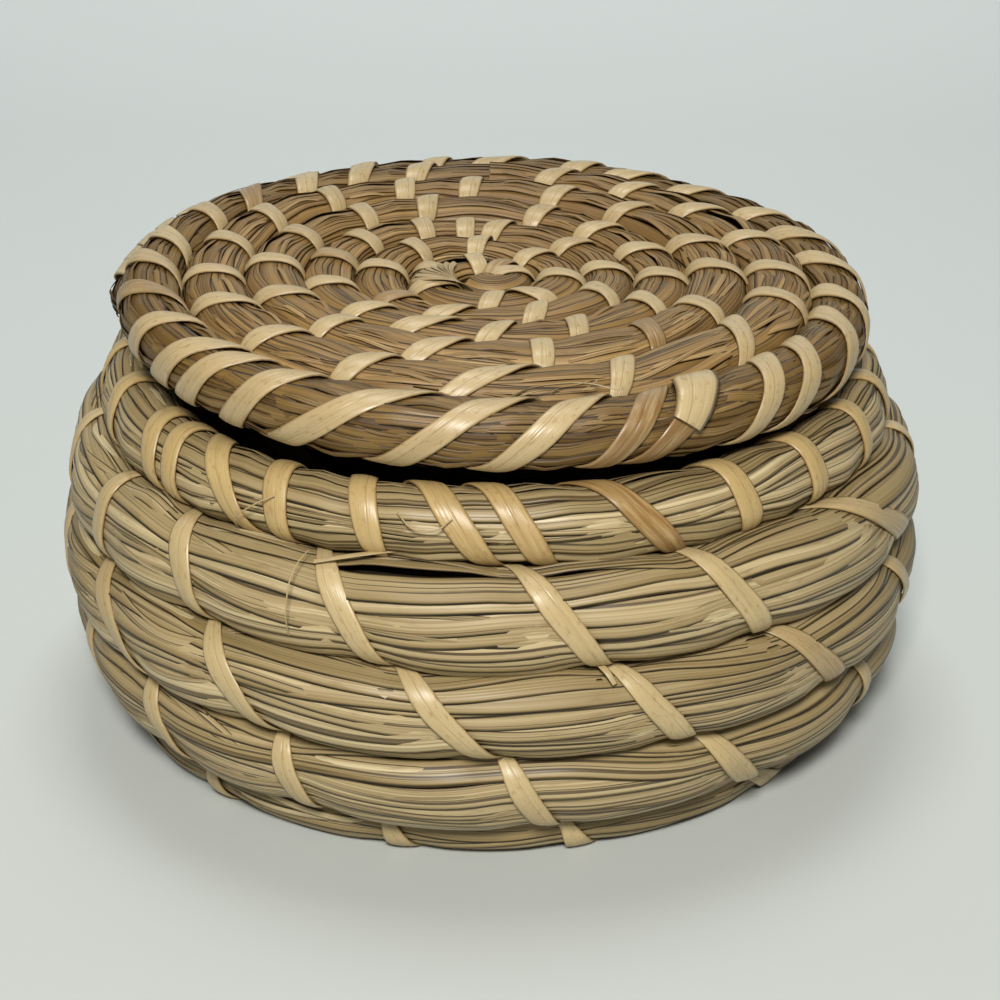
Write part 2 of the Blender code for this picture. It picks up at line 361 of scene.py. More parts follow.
# Stitches, one row for each round: how many go into a turn, the turns that each one crosses, and the
# strip's width in mm. front has the photo's columns at which a stitch meets the crease above it and
# the one below, and how brown it is at both. The ones that the photo does not show are spaced evenly
# over the row's span of turns. seen is where round the bundle, in degrees from its show side, those
# creases are, and back is where the strip turns back behind it. Each row's strip is a piece.
rowDefaults = {
    "seen": (-62, 75), "back": 90, "front": (), "placed": (),
    "fill": bundle["fill"], "flatten": bundle["flatten"],
}
baseFill = 1.08
endOutline = {"fill": 0.97, "flatten": -0.03}  # a bundle with no round outside it is nearer to round
stitchRows = {
    "base1": {
        "turn": 1, "count": 7, "lean": 0.05, "width": 4.0, "span": (-0.34, 1.5), "fill": baseFill,
        "piece": "baseStitchesInner", "node": "base_splint_1",
    },
    "base2": {
        "turn": 2, "count": 9, "lean": 0.035, "width": 4.2, "fill": baseFill,
        "piece": "baseStitchesSecond", "node": "base_splint_1",
    },
    "base3": {
        "turn": 3, "count": 12, "lean": 0.028, "width": 4.4, "fill": baseFill,
        "piece": "baseStitchesThird", "node": "base_splint_2",
    },
    "base4": {
        "turn": 4, "count": 13, "lean": 0.024, "width": 4.5, "fill": baseFill,
        "piece": "baseStitchesOuter", "node": "base_splint_2",
    },
    "foot": {
        "turn": 5, "count": 12, "lean": 0.020, "width": 4.6, "piece": "footStitches", "node": "foot_splint",
        "front": [(215, 265, 0.1, 0.2), (390, 430, 0.1, 0.3), (567, 590, 0.0, 0.1), (750, 768, 0.1, 0.1)],
    },
    "lowerWall": {
        "turn": 6, "count": 13, "lean": 0.024, "width": 4.6,
        "piece": "lowerWallStitches", "node": "wall_splint_1",
        "front": [
            (105, 130, 0.1, 0.2), (160, 200, 0.0, 0.2), (285, 320, 0.0, 0.1), (505, 552, 0.0, 0.1),
            (700, 745, 0.1, 0.1),
        ],
    },
    "middleWall": {
        "turn": 7, "count": 14, "lean": 0.028, "width": 4.6,
        "piece": "middleWallStitches", "node": "wall_splint_2",
        "front": [
            (115, 155, 0.3, 0.1), (215, 275, 0.1, 0.0), (405, 490, 0.1, 0.0), (615, 685, 0.0, 0.0),
            (770, 830, 0.2, 0.8),
        ],
    },
    "upperWall": {
        "turn": 8, "count": 16, "lean": 0.026, "width": 4.7,
        "piece": "upperWallStitches", "node": "wall_splint_3",
        "front": [
            (135, 112, 0.2, 0.1), (195, 205, 0.1, 0.1), (325, 378, 0.0, 0.1), (520, 600, 0.1, 0.1),
            (685, 760, 0.1, 0.0), (820, 893, 0.2, 0.6),
        ],
    },
    "rim": {
        "turn": 9, "count": 23, "lean": 0.012, "width": 4.8, "span": (8.5, 9.67),
        "piece": "rimStitches", "node": "rim_splint", "seen": (-62, 88), "back": 165, **endOutline,
        "front": [
            (180, 160, 0.1, 0.2), (200, 178, 0.1, 0.2), (225, 250, 0.1, 0.2), (290, 285, 0.3, 0.2),
            (365, 378, 0.2, 0.2), (425, 487, 0.3, 0.4), (485, 545, 0.3, 0.5), (585, 675, 0.7, 1.0),
            (705, 750, 0.2, 0.2), (775, 815, 0.1, 0.2), (825, 860, 0.2, 0.2),
        ],
    },
    "lid0": {
        "turn": 0, "count": 7, "lean": -0.05, "width": 3.9, "span": (-0.8, 0.6),
        "piece": "lidStitchesStart", "node": "lid_splint_1",
        "front": [(495, 482, 0.1, 0.1), (520, 556, 0.1, 0.2)],
    },
    "lid1": {
        "turn": 1, "count": 10, "lean": -0.03, "width": 4.0, "span": (0.6, 1.5),
        "piece": "lidStitchesFirst", "node": "lid_splint_1",
        "front": [(460, 420, 0.1, 0.1), (538, 524, 0.0, 0.1), (585, 612, 0.1, 0.1)],
    },
    "lid2": {
        "turn": 2, "count": 14, "lean": -0.02, "width": 4.2,
        "piece": "lidStitchesSecond", "node": "lid_splint_2",
        "front": [(443, 385, 0.1, 0.1), (503, 475, 0.0, 0.1), (575, 574, 0.1, 0.3), (632, 660, 0.0, 0.1)],
    },
    "lid3": {
        "turn": 3, "count": 15, "lean": -0.02, "width": 4.3, "flatten": -0.06,
        "piece": "lidStitchesThird", "node": "lid_splint_3",
        "front": [(350, 312, 0.1, 0.1), (453, 400, 0.1, 0.1), (541, 541, 0.0, 0.1), (641, 655, 0.9, 1.0)],
    },
    "lid4": {
        "turn": 4, "count": 19, "lean": -0.02, "width": 4.4, "flatten": -0.05,
        "piece": "lidStitchesFourth", "node": "lid_splint_3",
        "front": [
            (297, 245, 0.1, 0.1), (384, 335, 0.1, 0.1), (514, 437, 0.0, 0.1), (622, 614, 0.0, 0.1),
            (728, 740, 0.1, 0.1),
        ],
    },
    "lidEdge": {
        "turn": 5, "count": 27, "lean": -0.03, "width": 4.8, "span": (4.5, 5.745),
        "piece": "lidEdgeStitches", "node": "lid_edge_splint", "seen": (-62, 150), "back": 175, **endOutline,
        "front": [
            (238, 163, 0.1, 0.1), (264, 188, 0.1, 0.2), (310, 232, 0.1, 0.2), (417, 276, 0.0, 0.2),
            (512, 382, 0.1, 0.2), (590, 485, 0.0, 0.1), (655, 592, 0.8, 0.9), (704, 632, 0.1, 1.3),
            (758, 733, 0.1, 0.1), (788, 774, 0.1, 0.1), (809, 829, 0.1, 0.1),
        ],
        "placed": (5.672, 5.69, 5.708, 5.724, 5.739),
    },
}
for name, row in stitchRows.items():
    coil = lidCoil if name.startswith("lid") else basketCoil
    evenSpan = (row["turn"] - 0.5, row["turn"] + 0.5)
    stitchRows[name] = rowDefaults | {"span": evenSpan} | row | {
        "coil": coil, "seed": coil.values["stitchSeed"] + row["turn"],
    }
columnSearch = {"reach": 0.26, "halvings": 20}  # turns to each side of the front
stitchSpread = {  # how unevenly the stitches are laid that the photo doesn't show
    "place": 0.14,  # share of their spacing
    "lean": (0.6, 1.4),
    "oftenBrown": 0.07,
    "brown": 0.7,
    "pale": 0.25,
    "brownChange": (0.7, 1.3),  # from one end to the other
}


def seenAngle(coil, seen, side, aside):
    # degrees round the bundle at which a stitch's end is seen, this far round from the front
    if coil is basketCoil:
        return seen[side]
    facing = max(math.cos(tau * aside), 0.0)
    grazing = math.degrees(math.atan2(math.tan(math.radians(camera["elevation"])), facing))
    return max(seen[0], -grazing) if side == 0 else min(seen[1], 180 - grazing)


def columnTurn(coil, turn, seen, side, column):
    # the turn near a whole one at which this side of the bundle shows at a column of the photo
    low, high = turn - columnSearch["reach"], turn + columnSearch["reach"]
    for _ in range(columnSearch["halvings"]):
        middleTurn = (low + high) / 2
        degrees = seenAngle(coil, seen, side, middleTurn - turn)
        centre, half, show, away = coil.frameAt(middleTurn)
        angle = math.radians(degrees)
        spot = centre + (show * math.cos(angle) + away * math.sin(angle)) * half
        if (photoColumn(spot) > column) == (coil.hand > 0):
            low = middleTurn
        else:
            high = middleTurn
    return middleTurn, degrees


def stitchesOf(row):
    # for each stitch, its turns at the two sides of the bundle, and how brown it is at both
    coil, turn, step = row["coil"], row["turn"], 1 / row["count"]
    seen, span, lean = row["seen"], row["span"], row["lean"]
    firstPlaced = min(row["placed"], default=math.inf)
    chance = random.Random(row["seed"])
    found = []
    for upper, lower, brownUpper, brownLower in row["front"]:
        # the basket's next round lies above, the lid's below
        ends = [(upper, brownUpper), (lower, brownLower)]
        if coil is basketCoil:
            ends.reverse()
        (before, low), (after, high) = [columnTurn(coil, turn, seen, i, ends[i][0]) for i in (0, 1)]
        stretch = (after - before) / (high - low)
        first, last = before - (90 + low) * stretch, after + (90 - high) * stretch
        found.append((first, last, ends[0][1], ends[1][1]))
    for at in row["placed"]:
        found.append((at - lean / 2, at + lean / 2, 0.1, 0.2))
    if not found:
        found.append((turn - lean / 2, turn + lean / 2, 0.0, 0.1))
    found.sort(key=lambda stitch: stitch[0] + stitch[1])
    fronts = [stitch for stitch in found if abs((stitch[0] + stitch[1]) / 2 - turn) < 0.5]
    ends = [(fronts[i][0] + fronts[i][1]) / 2 for i in (0, -1)]
    for way, place, limit in ((-1, ends[0], span[0]), (1, ends[1], span[1])):
        place += way * step
        while (limit - place) * way > 0:
            at = place + chance.uniform(-stitchSpread["place"], stitchSpread["place"]) * step
            ownLean = lean * chance.uniform(*stitchSpread["lean"])
            isBrown = chance.random() < stitchSpread["oftenBrown"]
            brown = stitchSpread["brown"] if isBrown else chance.uniform(0.0, stitchSpread["pale"])
            if span[0] < at < span[1] and at + step < firstPlaced:
                changed = brown * chance.uniform(*stitchSpread["brownChange"])
                found.append((at - ownLean / 2, at + ownLean / 2, brown, changed))
            place += way * step
    found.sort(key=lambda stitch: stitch[0] + stitch[1])
    return found


stitches = {name: stitchesOf(row) for name, row in stitchRows.items()}
print("stitches", {name: len(found) for name, found in stitches.items()})


def fullness(angle, row):
    # the bundle's outline: squarish, because the rounds are pressed together
    return row["fill"] + row["flatten"] * math.cos(2 * angle) - bundle["square"] * math.cos(4 * angle)


def stitchSpans(coil):
    # every run of strip on a coil: turns at its start and end, on the show side and behind it
    shown, hidden = [], []
    for name, found in stitches.items():
        row = stitchRows[name]
        if row["coil"] is coil:
            back = (row["back"] + 90) / 180
            shown += [(before, after) for before, after, _, _ in found]
            for i in range(len(found) - 1):
                before, after = found[i][:2]
                hidden.append((before + (after - before) * back, found[i + 1][0]))
    return shown, hidden


def pathOf(coil, name, stepLength):
    # the bundle's middle as a line of points, with what the blades need to know at each one
    first, last = coil.values["startTurn"], coil.values["endTurn"]
    halfTurns = [count / 2 for count in range(math.ceil(2 * last))]
    marks = [first] + [there for there in halfTurns if there > first] + [last]
    turns = []
    for low, high in zip(marks, marks[1:]):
        start, end = coil.frameAt(low)[0], coil.frameAt(high)[0]
        about = (start.xy.length + end.xy.length) / 2 * tau * (high - low)
        count = max(2, round(about / stepLength))
        turns += [low + (high - low) * i / count for i in range(count)]
    turns.append(last)
    spans = stitchSpans(coil)
    points, edges, rows = [], [], []
    length = 0.0
    for i, turn in enumerate(turns):
        centre, half, show, away = coil.frameAt(turn)
        if points:
            length += (centre - points[-1]).length
            edges.append((i - 1, i))
        points.append(centre)
        row = [turn, length, half, centre.xy.length]
        for runs, wanted in zip(spans, (nearStitches, 1)):
            near = sorted(runs, key=lambda run: abs(turn - (run[0] + run[1]) / 2))[:wanted]
            row += [(turn - end) * tau * centre.xy.length for run in near for end in run]
        worn = max(0.0, 1 - (last - turn) / bundle["wornTurns"])
        rows.append(row + [worn, show, away])
    mesh = bpy.data.meshes.new(name)
    mesh.from_pydata(points, edges, [])
    names = ["turn", "along", "half", "ring"]
    names += [end + str(k) for k in range(nearStitches) for end in ("showStart", "showEnd")]
    names += ["hiddenStart", "hiddenEnd", "worn"]
    for k, attributeName in enumerate(names):
        attribute = mesh.attributes.new(attributeName, "FLOAT", "POINT")
        attribute.data.foreach_set("value", [row[k] for row in rows])
    for k, attributeName in ((len(names), "show"), (len(names) + 1, "away")):
        attribute = mesh.attributes.new(attributeName, "FLOAT_VECTOR", "POINT")
        attribute.data.foreach_set("vector", [x for row in rows for x in row[k]])
    return mesh


paths = {
    basketCoil: pathOf(basketCoil, "basketPath", stepLength=2.3 * mm),
    lidCoil: pathOf(lidCoil, "lidPath", stepLength=1.9 * mm),
}
print("paths", [len(mesh.vertices) for mesh in paths.values()])


def newTree(name, sockets):
    # a Geometry Nodes tree that takes a mesh and named values and gives a mesh
    tree = bpy.data.node_groups.new(name, "GeometryNodeTree")
    tree.interface.new_socket("Geometry", in_out="OUTPUT", socket_type="NodeSocketGeometry")
    tree.interface.new_socket("Geometry", in_out="INPUT", socket_type="NodeSocketGeometry")
    for socketName, kind in sockets.items():
        tree.interface.new_socket(socketName, in_out="INPUT", socket_type="NodeSocket" + kind)
    return tree, tree.nodes.new("NodeGroupInput").outputs, tree.nodes.new("NodeGroupOutput").inputs


def bladeTree():
    # many flat blades laid along a bundle's middle line
    tree, ask, give = newTree("grassBlades", {
        "First Turn": "Float", "Last Turn": "Float", "Blade Count": "Int", "Loose Count": "Int",
        "Blade Width": "Float", "Loose Width": "Float", "Thickness": "Float", "Roll": "Float",
        "Twist": "Float", "Wander": "Float", "Rise": "Float", "Drift Length": "Float", "Point": "Float",
        "Pull Reach": "Float", "Pull Depth": "Float", "Back Angle": "Float",
        "Fill": "Float", "Flatten": "Float", "Square": "Float",
        "Core": "Float", "Fray": "Float", "Seed": "Int", "Grass": "Material", "Shade": "Material",
    })
    add = partial(addNode, tree)
    turn, along, half, ring, number, hiddenStart, hiddenEnd = [
        add(namedNode, {"Name": name})
        for name in ("turn", "along", "half", "ring", "bladeNumber", "hiddenStart", "hiddenEnd")
    ]
    show = add(namedNode, {"Name": "show"}, data_type="FLOAT_VECTOR")
    away = add(namedNode, {"Name": "away"}, data_type="FLOAT_VECTOR")

    # the stretch of line between the two turns, once for each blade
    firstTurn = add(mathNode, (ask["First Turn"], endMargin), operation="SUBTRACT")
    lastTurn = add(mathNode, (ask["Last Turn"], endMargin), operation="ADD")
    early = add(mathNode, (turn, firstTurn), operation="LESS_THAN")
    late = add(mathNode, (turn, lastTurn), operation="GREATER_THAN")
    outside = add(mathNode, (early, late), operation="MAXIMUM")
    kept = add(deleteNode, {"Geometry": ask["Geometry"], "Selection": outside})
    line = add("GeometryNodeMeshToCurve", {"Mesh": kept})
    amount = add(mathNode, (ask["Blade Count"], ask["Loose Count"]), operation="ADD")
    copies = add("GeometryNodeDuplicateElements", {"Geometry": line, "Amount": amount}, domain="SPLINE")
    numbered = add(storeNode, {"Geometry": copies, "Name": "bladeNumber", "Value": copies.outputs[1]})
    lastTile = add(mathNode, (ask["Blade Count"], 0.5), operation="SUBTRACT")
    isLoose = add(mathNode, (number, lastTile), operation="GREATER_THAN")

    def chance(offset, limits=None):
        # a fixed random number for each blade, from 0 to 1 or between the limits
        seed = add(mathNode, (ask["Seed"], offset), operation="ADD")
        share = add("FunctionNodeRandomValue", {"ID": number, "Seed": seed}).outputs[1]
        return add(mapNode, (share, 0.0, 1.0, *limits)) if limits else share

    def drift(lengthShare, apart, offset):
        # noise from -1 to 1 that changes slowly along each blade, and by apart from one to the next
        length = add(mathNode, (ask["Drift Length"], lengthShare), operation="MULTIPLY")
        far = add(mathNode, (along, length), operation="DIVIDE")
        row = add(mathNode, (number, apart), operation="MULTIPLY")
        layer = add(mathNode, (ask["Seed"], offset), operation="ADD")
        spot = add(joinNode, (far, row, layer))
        wave = add("ShaderNodeTexNoise", {"Vector": spot, "Scale": 1.0, "Detail": 1.0})
        return add(mapNode, (wave, 0.25, 0.75, -1.0, 1.0))

    # a loose blade runs over part of the stretch, and a frayed bundle ends blade by blade
    stretch = add(mathNode, (ask["Last Turn"], ask["First Turn"]), operation="SUBTRACT")
    startShare = chance(21, bladeSpread["looseStart"])
    ownStart = add(mathNode, (startShare, stretch, firstTurn), operation="MULTIPLY_ADD")
    ownLength = chance(22, bladeSpread["looseLength"])
    ownEnd = add(mathNode, (ownStart, ownLength), operation="ADD")
    heldStart = add(mathNode, (ownStart, firstTurn), operation="MAXIMUM")
    heldEnd = add(mathNode, (ownEnd, lastTurn), operation="MINIMUM")
    frayed = add(mathNode, (chance(31), ask["Fray"]), operation="MULTIPLY")
    tileEnd = add(mathNode, (lastTurn, frayed), operation="SUBTRACT")
    bladeStart = add(mixNode, {0: isLoose, 2: firstTurn, 3: heldStart})
    bladeEnd = add(mixNode, {0: isLoose, 2: tileEnd, 3: heldEnd})
    before = add(mathNode, (turn, bladeStart), operation="LESS_THAN")
    past = add(mathNode, (turn, bladeEnd), operation="GREATER_THAN")
    cut = add(mathNode, (before, past), operation="MAXIMUM")
    trimmed = add(deleteNode, {"Geometry": numbered, "Selection": cut})
    around = add(mathNode, (ring, tau), operation="MULTIPLY")
    pointed = None
    for far, other, share in ((turn, bladeStart, 1.0), (bladeEnd, turn, bundle["tail"])):
        turnsGone = add(mathNode, (far, other), operation="SUBTRACT")
        gone = add(mathNode, (turnsGone, around), operation="MULTIPLY")
        length = add(mathNode, (ask["Point"], share), operation="MULTIPLY")
        widening = (gone, 0.0, length, bundle["pointWidth"], 1.0)
        width = add(mapNode, widening, interpolation_type="SMOOTHSTEP")
        pointed = width if pointed is None else add(mathNode, (pointed, width), operation="MULTIPLY")
    body = add(mixNode, {0: isLoose, 2: 1.0, 3: pointed})

    # where round the bundle each blade lies
    jitter = add(mathNode, (chance(1), bundle["jitter"], number), operation="MULTIPLY_ADD")
    tilePlace = add(mathNode, (jitter, ask["Blade Count"]), operation="DIVIDE")
    spread = add(mixNode, {0: isLoose, 2: tilePlace, 3: chance(2)})
    together = add(mathNode, (drift(1.0, 0.22, 3.7), ask["Twist"]), operation="MULTIPLY")
    own = add(mathNode, (drift(0.8, 7.31, 5.2), ask["Wander"]), operation="MULTIPLY")
    more = add(mapNode, (isLoose, 0.0, 1.0, 1.0, bundle["looseWander"]))
    wander = add(mathNode, (own, more, together), operation="MULTIPLY_ADD")
    freeAngle = add(mathNode, (spread, tau, wander), operation="MULTIPLY_ADD")
    angle = add(mathNode, (freeAngle, 1.5 * math.pi, -0.5 * math.pi), operation="WRAP")
    cosine = add(mathNode, (angle,), operation="COSINE")
    sine = add(mathNode, (angle,), operation="SINE")
    showPart = add(vectorNode, {0: show, "Scale": cosine}, operation="SCALE")
    awayPart = add(vectorNode, {0: away, "Scale": sine}, operation="SCALE")
    out = add(vectorNode, (showPart, awayPart), operation="ADD")

    # how far along the bundle the nearest stitch crosses this blade
    shareShown = add(mathNode, (angle, 1 / math.pi, 0.5), operation="MULTIPLY_ADD")
    apartShown = None
    for k in range(nearStitches):
        start = add(namedNode, {"Name": "showStart" + str(k)})
        end = add(namedNode, {"Name": "showEnd" + str(k)})
        crossing = add(mixNode, {0: shareShown, 2: start, 3: end}, clamp_factor=False)
        distance = add(mathNode, (crossing,), operation="ABSOLUTE")
        apartShown = add(mathNode, (apartShown or distance, distance), operation="MINIMUM")
    shareHidden = add(mapNode, (angle, ask["Back Angle"], 1.5 * math.pi, 0.0, 1.0))
    apartHidden = add(mixNode, {0: shareHidden, 2: hiddenStart, 3: hiddenEnd})
    behind = add(mathNode, (angle, ask["Back Angle"]), operation="GREATER_THAN")
    apart = add(mixNode, {0: behind, 2: apartShown, 3: apartHidden})
    nearness = add(mathNode, (apart, ask["Pull Reach"]), operation="DIVIDE")
    squared = add(mathNode, (nearness, nearness), operation="MULTIPLY")
    falling = add(mathNode, (squared, squared, 1.0), operation="MULTIPLY_ADD")
    pull = add(mathNode, (1.0, falling), operation="DIVIDE")
    loosened = add(mathNode, (pull, -bundle["pressedRise"], 1.0), operation="MULTIPLY_ADD")

    # how far from the middle line it lies, and how the outline slopes there
    shape, slope = ask["Fill"], 0.0
    for times, size, way in ((2.0, ask["Flatten"], "ADD"), (4.0, ask["Square"], "SUBTRACT")):
        multiple = add(mathNode, (angle, times), operation="MULTIPLY")
        crest, flank = [add(mathNode, (multiple,), operation=wave) for wave in ("COSINE", "SINE")]
        waved = add(mathNode, (crest, size), operation="MULTIPLY")
        shape = add(mathNode, (shape, waved), operation=way)
        steep = add(mathNode, (flank, size), operation="MULTIPLY")
        steeper = add(mathNode, (steep, times), operation="MULTIPLY")
        slope = add(mathNode, (slope, steeper), operation=way)
    drawn = add(mathNode, (pull, ask["Pull Depth"]), operation="MULTIPLY")
    shape = add(mathNode, (shape, drawn), operation="SUBTRACT")
    looseHeight = chance(5, bladeSpread["looseHeight"])
    lifted = add(mathNode, (looseHeight, body), operation="MULTIPLY")
    tileHeight = add(mathNode, (drift(0.7, 0.5, 9.1), bundle["tileRise"]), operation="MULTIPLY")
    height = add(mixNode, {0: isLoose, 2: tileHeight, 3: lifted})
    risen = add(mathNode, (height, ask["Rise"]), operation="MULTIPLY")
    heave = add(mathNode, (risen, loosened), operation="MULTIPLY")
    radius = add(mathNode, (half, shape, heave), operation="MULTIPLY_ADD")
    offset = add(vectorNode, {0: out, "Scale": radius}, operation="SCALE")
    laid = add(moveNode, {"Geometry": trimmed, "Offset": offset})

    # a tile tips over the next one, a loose blade to either side
    looseTip = chance(8, bladeSpread["looseTip"])
    tileTip = add(mapNode, (drift(0.5, 7.31, 6.4), -1.0, 1.0, *bladeSpread["tileTip"]))
    tipped = add(mixNode, {0: isLoose, 2: tileTip, 3: looseTip})
    held = add(mathNode, (pull, -bundle["pressedRoll"], 1.0), operation="MULTIPLY_ADD")
    rolled = add(mathNode, (tipped, ask["Roll"]), operation="MULTIPLY")
    lean = add(mathNode, (rolled, held, slope), operation="MULTIPLY_ADD")
    tangent = add("GeometryNodeInputTangent")
    side = add(vectorNode, (tangent, out), operation="CROSS_PRODUCT")
    sideways = add(vectorNode, {0: side, "Scale": lean}, operation="SCALE")
    facing = add(vectorNode, (out, sideways), operation="ADD")
    turned = add("GeometryNodeSetCurveNormal", {"Curve": laid, "Normal": facing}, mode="FREE")
    toned = add(storeNode, {"Geometry": turned, "Name": "bladeTone", "Value": chance(14)})

    # a blade's cross-section, one wide, slightly crowned and thin
    circle = add(circleNode, {"Resolution": bundle["bladeSides"], "Radius": 0.5})
    spot = add(splitNode, (add("GeometryNodeInputPosition"),)).outputs
    twice = add(mathNode, (spot["Y"], 2.0), operation="MULTIPLY")
    marked = add(storeNode, {"Geometry": circle, "Name": "across", "Value": twice})
    square = add(mathNode, (twice, twice), operation="MULTIPLY")
    bow = add(mathNode, (square, -bundle["bow"], bundle["bow"]), operation="MULTIPLY_ADD")
    thick = add(mathNode, (spot["X"], ask["Thickness"], bow), operation="MULTIPLY_ADD")
    flat = add(joinNode, (thick, spot["Y"], 0.0))
    section = add(moveNode, {"Geometry": marked, "Position": flat})
    tileWidth, looseWidth = [
        add(mathNode, (chance(offset, bladeSpread[limits]), ask[size]), operation="MULTIPLY")
        for offset, limits, size in ((17, "tileWidth", "Blade Width"), (18, "looseWidth", "Loose Width"))
    ]
    shareWidth = add(mixNode, {0: isLoose, 2: tileWidth, 3: looseWidth})
    ownWidth = add(mathNode, (shareWidth, half), operation="MULTIPLY")
    wide = add(mathNode, (ownWidth, body), operation="MULTIPLY")
    swept = add(sweepNode, {"Curve": toned, "Profile Curve": section, "Scale": wide, "Fill Caps": True})
    blades = add("GeometryNodeSetMaterial", {"Geometry": swept, "Material": ask["Grass"]})

    # the grass under them, where the imported coil lies: a tube in near-black painted shade, seen through the
    # gaps
    disc = add(circleNode, {"Resolution": bundle["coreSides"], "Radius": 1.0})
    coreStop = add(mathNode, (lastTurn, ask["Fray"]), operation="SUBTRACT")
    beyond = add(mathNode, (turn, coreStop), operation="GREATER_THAN")
    coreLine = add(deleteNode, {"Geometry": line, "Selection": beyond})
    coreSize = add(mathNode, (half, ask["Core"]), operation="MULTIPLY")
    tube = add(sweepNode, {"Curve": coreLine, "Profile Curve": disc, "Scale": coreSize, "Fill Caps": True})
    core = add("GeometryNodeSetMaterial", {"Geometry": tube, "Material": ask["Shade"]})
    joined = add("GeometryNodeJoinGeometry", (blades,))
    tree.links.new(core.outputs[0], joined.inputs[0])
    real = add("GeometryNodeRealizeInstances", (joined,))
    smooth = add("GeometryNodeSetShadeSmooth", (real,))
    tree.links.new(smooth.outputs[0], give[0])
    return tree


def stripTree():
    # a flat strip swept along a line, as wide as the line's points say
    tree, ask, give = newTree("leafStrip", {
        "Width": "Float", "Thickness": "Float", "Crown": "Float", "Sides": "Int", "Leaf": "Material",
    })
    add = partial(addNode, tree)
    line = add("GeometryNodeMeshToCurve", {"Mesh": ask["Geometry"]})
    facing = add(namedNode, {"Name": "facing"}, data_type="FLOAT_VECTOR")
    breadth = add(namedNode, {"Name": "breadth"})
    turned = add("GeometryNodeSetCurveNormal", {"Curve": line, "Normal": facing}, mode="FREE")
    ring = add(circleNode, {"Resolution": ask["Sides"], "Radius": 0.5})
    spot = add(splitNode, (add("GeometryNodeInputPosition"),)).outputs
    twice = add(mathNode, (spot["Y"], 2.0), operation="MULTIPLY")
    marked = add(storeNode, {"Geometry": ring, "Name": "across", "Value": twice})
    square = add(mathNode, (twice, twice), operation="MULTIPLY")
    inside = add(mathNode, (1.0, square), operation="SUBTRACT")
    crown = add(mathNode, (inside, ask["Crown"]), operation="MULTIPLY")
    bluntness = 0.45  # a power below 1 makes the section square-edged rather than round
    size, side = [add(mathNode, (spot["X"],), operation=part) for part in ("ABSOLUTE", "SIGN")]
    doubled = add(mathNode, (size, 2.0), operation="MULTIPLY")
    blunt = add(mathNode, (doubled, bluntness), operation="POWER")
    signed = add(mathNode, (blunt, side), operation="MULTIPLY")
    deep = add(mathNode, (ask["Thickness"], 0.5), operation="MULTIPLY")
    thick = add(mathNode, (signed, deep, crown), operation="MULTIPLY_ADD")
    flat = add(joinNode, (thick, spot["Y"], 0.0))
    section = add(moveNode, {"Geometry": marked, "Position": flat})
    wide = add(mathNode, (breadth, ask["Width"]), operation="MULTIPLY")
    swept = add(sweepNode, {"Curve": turned, "Profile Curve": section, "Scale": wide, "Fill Caps": True})
    dressed = add("GeometryNodeSetMaterial", {"Geometry": swept, "Material": ask["Leaf"]})
    real = add("GeometryNodeRealizeInstances", (dressed,))
    smooth = add("GeometryNodeSetShadeSmooth", (real,))
    tree.links.new(smooth.outputs[0], give[0])
    return tree


tableContact = 1.2 * mm  # the foot's lowest grass and strips are pressed flat under this height


def grown(name, source, tree, values):
    # runs a tree on a mesh of lines and keeps what it makes as a plain mesh piece
    carrier = bpy.data.objects.new(name + "Line", source)
    bpy.context.scene.collection.objects.link(carrier)
    modifier = carrier.modifiers.new("tree", "NODES")
    modifier.node_group = tree
    names = {item.name: item.identifier for item in tree.interface.items_tree if item.in_out == "INPUT"}
    for key, value in values.items():
        modifier[names[key]] = value
    graph = bpy.context.evaluated_depsgraph_get()
    mesh = bpy.data.meshes.new_from_object(carrier.evaluated_get(graph))
    bpy.data.objects.remove(carrier)
    mesh.name = name
    for vertex in mesh.vertices:
        if vertex.co.z < tableContact:
            vertex.co.z = tableContact * math.exp(vertex.co.z / tableContact - 1)
    piece = bpy.data.objects.new(name, mesh)
    bpy.context.scene.collection.objects.link(piece)
    return piece


def newMaterial(name):
    # a material, its tree and the inputs of its surface
    material = bpy.data.materials.new(name)
    material.use_nodes = True
    return material, material.node_tree, material.node_tree.nodes["Principled BSDF"].inputs


